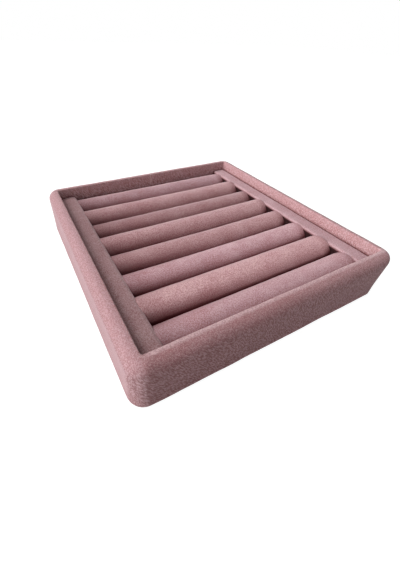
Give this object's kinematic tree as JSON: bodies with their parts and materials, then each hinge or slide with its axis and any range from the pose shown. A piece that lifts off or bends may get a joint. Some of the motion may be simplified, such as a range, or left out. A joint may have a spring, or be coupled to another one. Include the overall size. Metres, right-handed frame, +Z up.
{
  "type": "ring display tray",
  "caption": "Shallow square velvet-covered tray with a lift-out insert of padded rolls side by side between two padded end bars, whose grooves hold finger rings upright.",
  "frame": {"origin": "middle of the underside, on the surface that the tray stands on", "axes": "+X along the ring rolls to the right, +Y from the front wall to the back wall, +Z up"},
  "size_m": [0.16, 0.16, 0.03],
  "materials": {
    "pink_velvet": "matte",
    "lining_velvet": "matte",
    "underside_velvet": "matte",
    "fibreboard": "matte",
    "insert_card": "matte",
    "foam": "matte"
  },
  "bodies": {
    "tray": {"base_cover": "underside_velvet", "base_board": "fibreboard", "front_rail": "fibreboard", "back_rail": "fibreboard", "left_rail": "fibreboard", "right_rail": "fibreboard", "wall_wrap": "pink_velvet", "floor_lining": "lining_velvet"},
    "ring_insert": {"insert_board": "insert_card", "left_bar_core": "foam", "right_bar_core": "foam", "left_bar_cover": "pink_velvet", "right_bar_cover": "pink_velvet", "roll_core_1": "foam", "roll_core_2": "foam", "roll_core_3": "foam", "roll_core_4": "foam", "roll_core_5": "foam", "roll_core_6": "foam", "roll_core_7": "foam", "roll_core_8": "foam", "roll_cover_1": "pink_velvet", "roll_cover_2": "pink_velvet", "roll_cover_3": "pink_velvet", "roll_cover_4": "pink_velvet", "roll_cover_5": "pink_velvet", "roll_cover_6": "pink_velvet", "roll_cover_7": "pink_velvet", "roll_cover_8": "pink_velvet"}
  },
  "joints": [
    {"name": "insert_lift", "type": "slide", "parent": "tray", "child": "ring_insert", "axis": [0, 0, 1], "range_m": [0, 0.03]}
  ]
}
